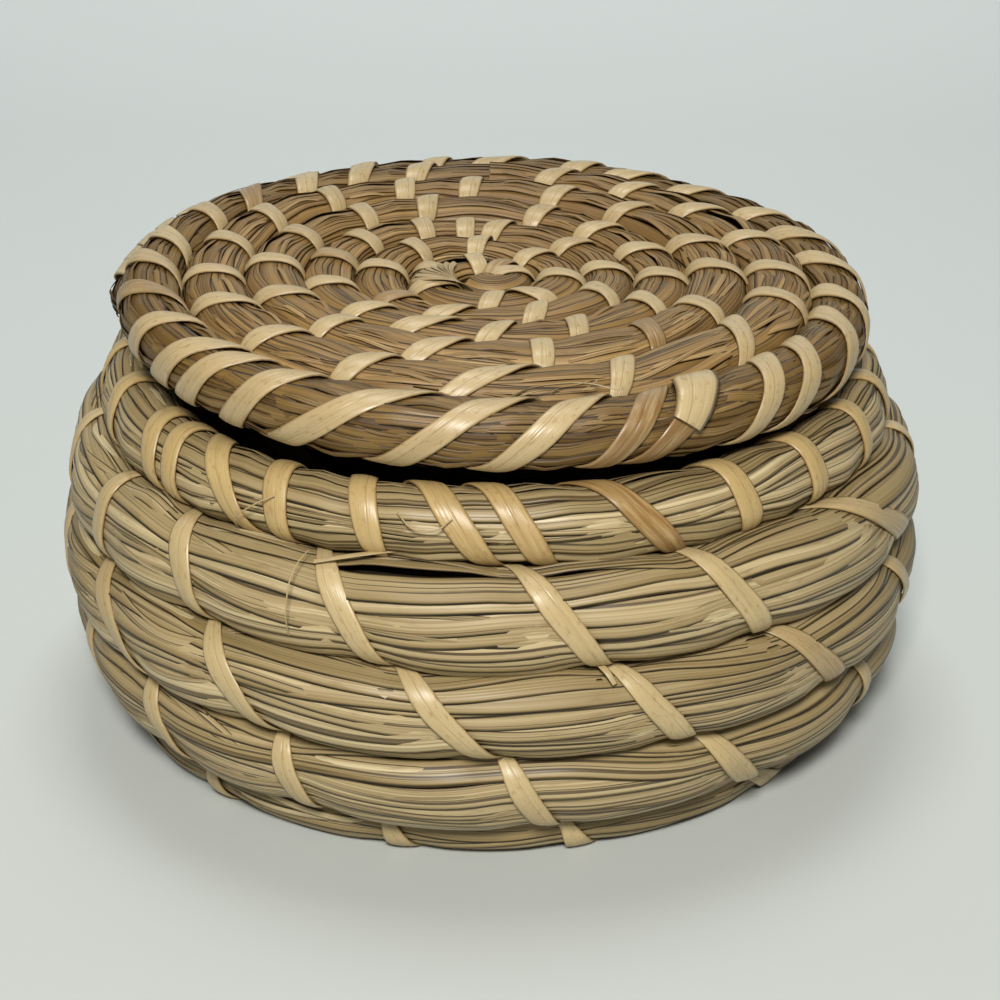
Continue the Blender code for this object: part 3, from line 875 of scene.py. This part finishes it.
def driedGrass(name, look):
    # Dried sweetgrass: flat satin blades with fine lengthwise ribs, dark seams and brown spots.
    # look has the blades' colours from dark to pale, then those of ribs, stains, seams and a frayed
    # end, and how strong the stains are. The ribs colour also gives the painted shade towards each
    # blade's edges. The seams colour gives the seams, which are partly dirt in the grooves and partly
    # painted shadow lines where the blades overlap.
    material, tree, surface = newMaterial(name)
    add = partial(addNode, tree)
    halfWidth, bladesApart = 1.65, 97.0  # mm, and how far apart in the noise two blades are
    across, along, tone, worn = [
        add("ShaderNodeAttribute", attribute_name=attributeName).outputs["Fac"]
        for attributeName in ("across", "along", "bladeTone", "worn")
    ]
    seed = add(mathNode, (tone, bladesApart), operation="MULTIPLY")

    def grain(alongLength, acrossLength, shift, detail):
        # noise drawn out along the blade, from its lengths in mm
        far = add(mathNode, (along, alongLength * mm), operation="DIVIDE")
        beside = add(mathNode, (across, halfWidth / acrossLength), operation="MULTIPLY")
        layer = add(mathNode, (seed, shift), operation="ADD")
        spot = add(joinNode, (far, beside, layer))
        settings = {"Vector": spot, "Scale": 1.0, "Detail": detail, "Roughness": 0.6}
        return add("ShaderNodeTexNoise", settings)

    # each blade has its own tone, which changes slowly along it
    slow = add(mapNode, (grain(90, 3.0, 3.0, 1.0), 0.0, 1.0, -0.5, 0.5))
    mixed = add(mathNode, (tone, 0.9, slow), operation="MULTIPLY_ADD")
    ramp = add("ShaderNodeValToRGB", (add(mathNode, (mixed, 0.05), operation="ADD"),))
    elements = ramp.color_ramp.elements
    elements[0].color = linear(look["blades"][0])
    elements[1].color = linear(look["blades"][-1])
    for i, colour in enumerate(look["blades"][1:-1]):
        elements.new((i + 1) / (len(look["blades"]) - 1)).color = linear(colour)
    # ribs 0.3 mm apart, fewer and darker cracks, and spots
    fine = grain(90, 0.3, 11.0, 2.0)
    ribs = add(mapNode, (fine, 0.4, 0.66, 0.0, 0.7))
    cracks = add(mapNode, (grain(160, 0.42, 41.0, 1.0), 0.60, 0.66, 0.0, 0.85))
    spots = add(mapNode, (grain(7, 1.0, 23.0, 4.0), 0.58, 0.74, 0.0, look["dirt"]))
    # a blade is darker towards its edges, which is painted shade that rounds it, and dark along them,
    # which is partly dirt in the grooves and partly a painted shadow line where blades overlap
    edge = add(mathNode, (across,), operation="ABSOLUTE")
    paintedEdgeShade = add(mapNode, (edge, 0.4, 0.95, 0.0, 0.62))
    sharp = add(mapNode, (edge, 0.85, 0.95, 0.0, 1.0))
    faded = add(mapNode, (grain(22, 4.0, 61.0, 1.0), 0.36, 0.56, 0.5, 1.0))
    seam = add(mathNode, (sharp, faded), operation="MULTIPLY")
    # and nearly black at a frayed end
    end = add(mathNode, (worn, 0.8), operation="MULTIPLY")
    colour = ramp.outputs[0]
    for amount, part in (
        (ribs, "ribs"), (cracks, "seams"), (spots, "stains"), (paintedEdgeShade, "ribs"), (seam, "seams"), (end, "end"),
    ):
        colour = add(mixNode, {0: amount, 6: colour, 7: linear(look[part])}, data_type="RGBA").outputs[2]
    tree.links.new(colour, surface["Base Color"])
    rough = add(mapNode, (fine, 0.3, 0.7, 0.4, 0.62))
    tree.links.new(rough.outputs[0], surface["Roughness"])
    surface["IOR"].default_value = 1.45
    bump = add("ShaderNodeBump", {"Height": fine, "Strength": 0.6, "Distance": 0.15 * mm})
    tree.links.new(bump.outputs[0], surface["Normal"])
    return material


def splitLeaf(name, look):
    # Split leaf strip, scraped and dried: pale and satin, with a fold along it and brown flecks.
    # look has the strip's colour and those of its streaks, brown parts and worn edges. The edge colour
    # also paints shade along the fold and a shadow line along the edges.
    material, tree, surface = newMaterial(name)
    add = partial(addNode, tree)
    halfWidth = 2.3  # mm
    across, along, brown = [
        add("ShaderNodeAttribute", attribute_name=attributeName).outputs["Fac"]
        for attributeName in ("across", "along", "brown")
    ]

    def grain(alongLength, acrossLength, shift, detail):
        # noise drawn out along the strip, from its lengths in mm
        far = add(mathNode, (along, alongLength * mm), operation="DIVIDE")
        beside = add(mathNode, (across, halfWidth / acrossLength), operation="MULTIPLY")
        spot = add(joinNode, (far, beside, shift))
        settings = {"Vector": spot, "Scale": 1.0, "Detail": detail, "Roughness": 0.55}
        return add("ShaderNodeTexNoise", settings)

    fine = grain(28, 0.3, 4.0, 3.0)
    ribs = add(mapNode, (fine, 0.4, 0.7, 0.0, 0.6))
    # brown parts are streaked and patchy
    patch = add(mapNode, (grain(10, 0.9, 15.0, 3.0), 0.3, 0.7, 0.35, 1.35))
    browned = add(mathNode, (brown, patch), operation="MULTIPLY", use_clamp=True)
    flecks = add(mapNode, (grain(1.6, 0.8, 31.0, 4.0), 0.56, 0.72, 0.0, 0.6))
    # the fold runs a little to one side, and wavers. The strip is darkened along the fold as painted
    # shade in the crease, and at its edges both as wear and as a painted shadow line.
    waver = add(mapNode, (grain(40, 40, 53.0, 0.0), 0.0, 1.0, -0.75, 0.95))
    beside = add(mathNode, (across, waver), operation="SUBTRACT")
    fromFold, fromMiddle = [add(mathNode, (place,), operation="ABSOLUTE") for place in (beside, across)]
    fold = add(mapNode, (fromFold, 0.0, 0.09, 1.0, 0.0))
    edge = add(mapNode, (fromMiddle, 0.86, 1.0, 0.0, 0.8))
    paintedFoldShade = add(mathNode, (fold, 0.25), operation="MULTIPLY")
    line = add(mathNode, (paintedFoldShade, edge), operation="MAXIMUM")
    colour = linear(look["leaf"])
    for amount, part in ((ribs, "streaks"), (browned, "brown"), (flecks, "brown"), (line, "edge")):
        colour = add(mixNode, {0: amount, 6: colour, 7: linear(look[part])}, data_type="RGBA").outputs[2]
    tree.links.new(colour, surface["Base Color"])
    rough = add(mapNode, (fine, 0.3, 0.7, 0.28, 0.46))
    tree.links.new(rough.outputs[0], surface["Roughness"])
    surface["IOR"].default_value = 1.5
    relief = add(mathNode, (fold, -0.8, fine), operation="MULTIPLY_ADD")
    bump = add("ShaderNodeBump", {"Height": relief, "Strength": 0.5, "Distance": 0.14 * mm})
    tree.links.new(bump.outputs[0], surface["Normal"])
    return material


def packedGrass(name, dark, pale):
    # The grass under the outer blades, seen only through the gaps between them: matt, and nearly black,
    # which is painted shade for the deep gaps.
    material, tree, surface = newMaterial(name)
    spot = addNode(tree, "ShaderNodeTexCoord").outputs["Object"]
    grainsPerMetre = 700.0  # about 1.4 mm each
    grain = addNode(tree, "ShaderNodeTexNoise", {"Vector": spot, "Scale": grainsPerMetre, "Detail": 3.0})
    mixed = addNode(tree, mixNode, {0: grain, 6: linear(dark), 7: linear(pale)}, data_type="RGBA")
    tree.links.new(mixed.outputs[2], surface["Base Color"])
    surface["Roughness"].default_value = 0.9
    return material


wallGrass = driedGrass("driedSweetgrass", {
    "blades": ("#8A7952", "#A08E67", "#AF9C75", "#BDAC84", "#CCBE97"),
    "ribs": "#7C673E", "stains": "#75603A", "seams": "#33240F", "end": "#33240F", "dirt": 0.6,
})
lidGrass = driedGrass("agedSweetgrass", {
    "blades": ("#70552B", "#816434", "#917342", "#A08251", "#B09564"),
    "ribs": "#664B26", "stains": "#5A4424", "seams": "#35250F", "end": "#1A1209", "dirt": 0.65,
})
# the lid's outer round: browner grass, and darker still as painted shade for its steep outer face
edgeGrass = driedGrass("brownAndShadedSweetgrass", {
    "blades": ("#5C4319", "#684F23", "#755B2C", "#826737", "#907645"),
    "ribs": "#553D1B", "stains": "#4B3619", "seams": "#2A1C0A", "end": "#140D06", "dirt": 0.6,
})
# near-black colours: painted shade for the grass deep inside the bundles
grassInShade = packedGrass("paintedShadeSweetgrass", dark="#1E150A", pale="#3A2C18")
wallLeaf = splitLeaf("splitLeafPale", {
    "leaf": "#B6A277", "streaks": "#A28D60", "brown": "#866538", "edge": "#7D6338",
})
rimLeaf = splitLeaf("splitLeafYellow", {
    "leaf": "#BAA26E", "streaks": "#A48B58", "brown": "#805E32", "edge": "#765A32",
})
lidLeaf = splitLeaf("splitLeafAged", {
    "leaf": "#B29E75", "streaks": "#9B855B", "brown": "#7A5C33", "edge": "#745A33",
})
print("materials made")

blades, strips = bladeTree(), stripTree()
# Each piece of grass takes its outline, and where strips turn back behind it, from one of its rows
grassPieces = {
    "baseHeartGrass": {"row": "base1", "turns": (basketWinding["startTurn"], 0.5), "node": "base_knot"},
    "baseGrassInner": {"row": "base2", "turns": (0.5, 2.5)},
    "baseGrassOuter": {"row": "base3", "turns": (2.5, 4.5)},
    "footGrass": {"row": "foot", "turns": (4.5, 5.5)},
    "lowerWallGrass": {"row": "lowerWall", "turns": (5.5, 6.5)},
    "middleWallGrass": {"row": "middleWall", "turns": (6.5, 7.5)},
    "upperWallGrass": {"row": "upperWall", "turns": (7.5, 8.5)},
    "rimGrass": {"row": "rim", "turns": (8.5, basketWinding["endTurn"]), "fray": 0.04},
    "lidHeartGrass": {"row": "lid0", "turns": (lidWinding["startTurn"], 0.5), "node": "lid_knot"},
    "lidMiddleGrass": {"row": "lid1", "turns": (0.5, 2.5)},
    "lidThirdGrass": {"row": "lid3", "turns": (2.5, 3.5)},
    "lidFourthGrass": {"row": "lid4", "turns": (3.5, 4.5)},
    "lidEdgeGrass": {
        "row": "lidEdge", "turns": (4.5, lidWinding["endTurn"]), "fray": 0.012, "grass": edgeGrass,
    },
}
for name, values in grassPieces.items():
    row = stitchRows[values["row"]]
    inBasket = row["coil"] is basketCoil
    rough = row["coil"].values["rough"]
    firstTurn, lastTurn = values["turns"]
    piece = grown(name, paths[row["coil"]], blades, {
        "First Turn": firstTurn, "Last Turn": lastTurn, "Blade Count": bundle["bladeCount"],
        "Loose Count": round(bundle["looseCount"] * (lastTurn - firstTurn)),
        "Blade Width": bundle["bladeWidth"], "Loose Width": bundle["looseWidth"],
        "Thickness": bundle["thickness"], "Roll": bundle["roll"], "Twist": bundle["twist"],
        "Wander": bundle["wander"] * rough, "Rise": bundle["rise"] * rough * mm,
        "Point": bundle["point"] * mm, "Drift Length": bundle["driftLength"] * mm,
        "Pull Reach": bundle["pullReach"] * mm, "Pull Depth": bundle["pullDepth"],
        "Fill": row["fill"], "Flatten": row["flatten"], "Square": bundle["square"],
        "Back Angle": math.radians(row["back"]), "Core": bundle["core" if inBasket else "lidCore"],
        "Fray": values.get("fray", 0.0), "Seed": row["coil"].values["bladeSeed"],
        "Grass": values.get("grass", wallGrass if inBasket else lidGrass), "Shade": grassInShade,
    })
    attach(piece, "basket" if inBasket else "lid")
    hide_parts(values.get("node", "basket_coil" if inBasket else "lid_coil"))
    print(name, len(piece.data.polygons))

strip = {
    "thickness": 0.11,  # share of the strip's width
    "crown": 0.05,  # how far its middle bulges, the same way
    "lift": 0.92,  # mm from the drawn-in grass to the strip's middle
    "lidLift": 0.84,
    "narrow": 0.55,  # share of its width that is left in a crease
    "narrowPower": 6,  # how suddenly it narrows there
    "unevenWidth": 0.10,  # share by which the width wavers
    "unevenLength": 14,  # mm over which it does
    "endMargin": 0.002,  # turns that a strip keeps from its bundle's ends
    "shownSteps": 24,
    "hiddenSteps": 14,
    "sides": 14,
}


def lineMesh(name, points, facings, breadths, browns):
    # a line of points for the strip tree
    mesh = bpy.data.meshes.new(name)
    mesh.from_pydata(points, [(i, i + 1) for i in range(len(points) - 1)], [])
    alongs = [0.0]
    for here, there in zip(points, points[1:]):
        alongs.append(alongs[-1] + (there - here).length)
    for attributeName, found in (("breadth", breadths), ("brown", browns), ("along", alongs)):
        mesh.attributes.new(attributeName, "FLOAT", "POINT").data.foreach_set("value", found)
    turned = mesh.attributes.new("facing", "FLOAT_VECTOR", "POINT")
    turned.data.foreach_set("vector", [x for facing in facings for x in facing])
    return mesh


def stripLine(name):
    # one round's strip: over the show side at each stitch, and on behind to the next one
    row, found = stitchRows[name], stitches[name]
    coil, back = row["coil"], row["back"]
    outermost = name in ("rim", "lidEdge")  # with no round outside it to press it into a crease
    marks = []
    for i, (before, after, brownBefore, brownAfter) in enumerate(found):
        slope = (after - before) / 180
        for k in range(strip["shownSteps"]):
            angle = -90 + (back + 90) * k / strip["shownSteps"]
            brown = brownBefore + (brownAfter - brownBefore) * min((angle + 90) / 180, 1.0)
            marks.append((before + slope * (angle + 90), angle, brown))
        turnBack = before + slope * (back + 90)
        nextBefore, nextBrown = turnBack, brownAfter
        if i + 1 < len(found):
            nextBefore, _, nextBrown, _ = found[i + 1]
        for k in range(strip["hiddenSteps"]):
            share = k / strip["hiddenSteps"]
            brown = brownAfter + (nextBrown - brownAfter) * share
            marks.append((turnBack + (nextBefore - turnBack) * share, back + (270 - back) * share, brown))
    lift = strip["lift"] if coil is basketCoil else strip["lidLift"]
    first = coil.values["startTurn"] + strip["endMargin"]
    last = coil.values["endTurn"] - strip["endMargin"]
    points, facings, breadths = [], [], []
    for turn, degrees, _ in marks:
        centre, half, show, away = coil.frameAt(min(max(turn, first), last))
        angle = math.radians(degrees)
        out = show * math.cos(angle) + away * math.sin(angle)
        reach = half * (fullness(angle, row) - bundle["pullDepth"]) + lift * mm
        pressed = max(0.0, -math.sin(angle)) if outermost else abs(math.sin(angle))
        tight = pressed ** strip["narrowPower"]
        points.append(centre + out * reach)
        facings.append(out)
        uneven = 1 + strip["unevenWidth"] * noise.noise(points[-1] / (strip["unevenLength"] * mm))
        breadths.append((1 - (1 - strip["narrow"]) * tight) * uneven)
    return lineMesh(name + "Line", points, facings, breadths, [mark[2] for mark in marks])


leaves = {"wall_leaf": wallLeaf, "rim_leaf": rimLeaf, "lid_leaf": lidLeaf}
for name, row in stitchRows.items():
    inBasket = row["coil"] is basketCoil
    slotName = ("rim_leaf" if name == "rim" else "wall_leaf") if inBasket else "lid_leaf"
    piece = grown(row["piece"], stripLine(name), strips, {
        "Width": row["width"] * mm, "Thickness": strip["thickness"], "Crown": strip["crown"],
        "Sides": strip["sides"], "Leaf": leaves[slotName],
    })
    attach(piece, "basket" if inBasket else "lid")
    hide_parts(row["node"])
    print(row["piece"], len(piece.data.polygons))

# Loose fibres and scraps of strip, each with its width in mm and how brown it is. Each point has a
# turn, the degrees round the bundle from its show side and the mm that it lies above the bundle.
scraps = {
    "lidTornStrip": (8.6, 0.0, [(5.097, -46, 0.6), (5.090, -6, 1.2), (5.083, 34, 1.3), (5.076, 70, 1.4)]),
    "lidStalk": (1.1, 0.1, [(5.006, -60, 0.4), (5.020, -38, 2.2), (5.040, -20, 2.9), (5.056, 0, 1.6)]),
    "lidCurl": (0.4, 0.3, [
        (5.028, -34, 1.5), (5.036, -52, 3.0), (5.046, -48, 3.4), (5.048, -30, 3.0), (5.040, -14, 1.8),
    ]),
    "lidThread": (0.5, 0.2, [(5.014, -18, 0.9), (5.022, -30, 1.6), (5.032, -46, 1.9)]),
    "rimBridge": (1.3, 0.1, [(8.061, 52, 1.0), (8.046, 66, 1.7), (8.030, 80, 2.1), (8.012, 84, 2.7)]),
    "wallHair": (0.3, 0.2, [(8.066, -32, 1.4), (8.0655, 0, 3.0), (8.065, 30, 3.3), (8.0635, 58, 2.2)]),
    "rimHair": (0.3, 0.3, [(9.096, -54, 1.0), (9.094, -30, 2.2), (9.086, -8, 2.4), (9.080, 8, 1.0)]),
    "rimCurl": (0.35, 0.4, [(9.032, 12, 1.0), (9.026, -6, 2.1), (9.018, -8, 2.0), (9.012, 8, 1.0)]),
    "wallScrap": (1.4, 0.2, [(6.962, 74, 1.4), (6.960, 62, 1.7), (6.958, 48, 1.3)]),
}
fanBlades = 8
for i in range(fanBlades):
    # the cut ends where the lid's grass starts
    places = [(-0.32 + 0.018 * i, 10 * i - 26, 0.3), (-0.20 + 0.010 * i, 6 * i - 46, 1.2)]
    places.append((-0.06 + 0.004 * (i % 3), 2 * i - 68, 0.8))
    scraps["lidStart" + str(i)] = (1.4, 0.2 + 0.2 * (i % 3), places)
scrap = {
    "stepsPerPlace": 5,
    "widest": 0.4,  # share of its length at which it is widest
    "taper": 0.5,
    "thickness": 0.12,  # share of its width
    "hairWidth": 1,  # mm, up to which it is a hair
    "hairThickness": 0.5,
    "crown": 0.04,
    "sides": 8,
}
for name, (width, brown, places) in scraps.items():
    coil = lidCoil if name.startswith("lid") else basketCoil
    rows = [row for row in stitchRows.values() if row["coil"] is coil]
    points, facings, breadths = [], [], []
    steps = scrap["stepsPerPlace"] * (len(places) - 1)
    for i in range(steps + 1):
        place = i * (len(places) - 1) / steps
        turn, degrees, above = [smoothValue(values, place) for values in zip(*places)]
        angle = math.radians(degrees)
        centre, half, show, away = coil.frameAt(turn)
        out = show * math.cos(angle) + away * math.sin(angle)
        row = next(row for row in rows if row["span"][0] <= turn <= row["span"][1])
        points.append(centre + out * (half * fullness(angle, row) + above * mm))
        facings.append(out)
        breadths.append(1.0 - scrap["taper"] * abs(i / steps - scrap["widest"]))
    source = lineMesh(name + "Line", points, facings, breadths, [brown] * len(points))
    thickness = scrap["hairThickness"] if width <= scrap["hairWidth"] else scrap["thickness"]
    piece = grown(name, source, strips, {
        "Width": width * mm, "Thickness": thickness, "Crown": scrap["crown"], "Sides": scrap["sides"],
        "Leaf": lidLeaf if coil is lidCoil else wallLeaf,
    })
    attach(piece, "lid" if coil is lidCoil else "basket")
print("scraps", len(scraps))

# Floor that runs up into a backdrop, and the lamps
stage = {
    # The floor is painted paler towards the back: painted light that makes up for the weaker lamplight on the
    # far floor and backdrop.
    "near": "#B3B7B2",  # the floor's colour in front, and far behind
    "far": "#E8F0EE",
    "fade": (-0.1, 0.8),  # m from the basket, between which one goes into the other
    "half": 1.6,  # m to each side and to the front
    "back": 0.9,
    "bend": 0.5,
    "bendSteps": 12,
    "height": 1.6,
}
bendStart = stage["back"] - stage["bend"]
profile = [(-stage["half"], 0.0), (bendStart, 0.0)]
for i in range(1, stage["bendSteps"] + 1):
    angle = i / stage["bendSteps"] * math.pi / 2
    profile.append((bendStart + stage["bend"] * math.sin(angle), stage["bend"] * (1 - math.cos(angle))))
profile.append((stage["back"], stage["height"]))
points = [(x, y, z) for y, z in profile for x in (-stage["half"], stage["half"])]
floorMesh = bpy.data.meshes.new("floor")
floorMesh.from_pydata(points, [], [(2 * i, 2 * i + 1, 2 * i + 3, 2 * i + 2) for i in range(len(profile) - 1)])
floorMesh.shade_smooth()
floor = bpy.data.objects.new("floor", floorMesh)
bpy.context.scene.collection.objects.link(floor)
paleCard, cardTree, cardSurface = newMaterial("paleCard")  # smooth matt card, which gives no pattern
cardPlace = addNode(cardTree, "ShaderNodeTexCoord").outputs["Object"]
cardDepth = addNode(cardTree, splitNode, (cardPlace,)).outputs["Y"]
# fades into the paler far colour: painted light on the backdrop
cardFar = addNode(cardTree, mapNode, (cardDepth, *stage["fade"], 0.0, 1.0))
cardEnds = {0: cardFar, 6: linear(stage["near"]), 7: linear(stage["far"])}
cardColour = addNode(cardTree, mixNode, cardEnds, data_type="RGBA")
cardTree.links.new(cardColour.outputs[2], cardSurface["Base Color"])
cardSurface["Roughness"].default_value = 0.6
floorMesh.materials.append(paleCard)

lampAim = Vector((0, 0, 0.05))
lamps = {
    "keyLamp": {"place": (-0.04, -0.80, 0.72), "size": 0.2, "power": 13.2, "colour": (1.0, 0.98, 0.95)},
    "topLamp": {"place": (0.0, 0.2, 1.0), "size": 0.4, "power": 4.0, "colour": (0.97, 0.98, 1.0)},
}
for name, values in lamps.items():
    lampData = bpy.data.lights.new(name, "AREA")
    lampData.shape = "RECTANGLE"
    lampData.size = lampData.size_y = values["size"]
    lampData.energy = values["power"]
    lampData.color = values["colour"]
    lamp = bpy.data.objects.new(name, lampData)
    lamp.location = values["place"]
    lamp.rotation_euler = (lampAim - lamp.location).to_track_quat("-Z", "Y").to_euler()
    bpy.context.scene.collection.objects.link(lamp)
studioAir = {"colour": (0.93, 0.96, 1.0, 1.0), "strength": 0.11}
world = bpy.data.worlds.new("studio")
bpy.context.scene.world = world
world.use_nodes = True
background = world.node_tree.nodes["Background"].inputs
background["Color"].default_value = studioAir["colour"]
background["Strength"].default_value = studioAir["strength"]
bpy.context.scene.view_settings.view_transform = "Standard"
print("stage and lamps set")
